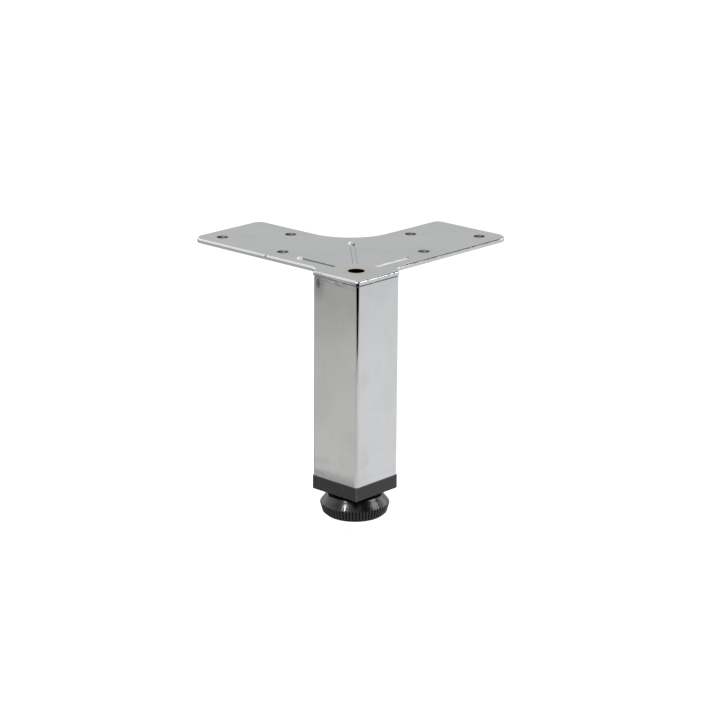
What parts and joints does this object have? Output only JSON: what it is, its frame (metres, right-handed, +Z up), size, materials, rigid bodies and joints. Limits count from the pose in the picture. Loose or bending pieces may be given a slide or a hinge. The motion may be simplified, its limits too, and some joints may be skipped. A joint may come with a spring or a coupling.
{
  "type": "furniture leg",
  "caption": "Short square chromed furniture leg with an L-shaped screw-on mounting plate and a screw-adjustable round black foot.",
  "frame": {"origin": "on the square tube's axis, in the mounting plate's top face, at the middle of its round centre hole", "axes": "+Z up along the tube, out of the plate's top face; +X and +Y along the plate's two arms"},
  "size_m": [0.1449, 0.1449, 0.146],
  "materials": {
    "polished_chrome": "bright chrome plating over polished steel",
    "charcoal_plastic": "satin injection-moulded plastic",
    "zinc_steel": "zinc-plated steel",
    "black_gloss_plastic": "glossy injection-moulded plastic"
  },
  "bodies": {
    "leg": {"mounting_plate": "polished_chrome", "leg_tube": "polished_chrome", "weld_seams": "polished_chrome", "end_cap": "charcoal_plastic", "captive_nut": "zinc_steel"},
    "stud": {"adjuster_stud": "zinc_steel"},
    "foot": {"adjuster_foot": "black_gloss_plastic"}
  },
  "joints": [
    {"name": "stud_slide", "type": "slide", "parent": "leg", "child": "stud", "axis": [0, 0, -1], "range_m": [-0.0015, 0.012]},
    {"name": "foot_turn", "type": "hinge", "parent": "stud", "child": "foot", "pos_m": [0, 0, -0.14], "axis": [0, 0, -1], "range_deg": [-360, 2880]}
  ],
  "couplings": [
    {"joint": "stud_slide", "follows": "foot_turn", "m_per_rad": 0.00023873}
  ]
}
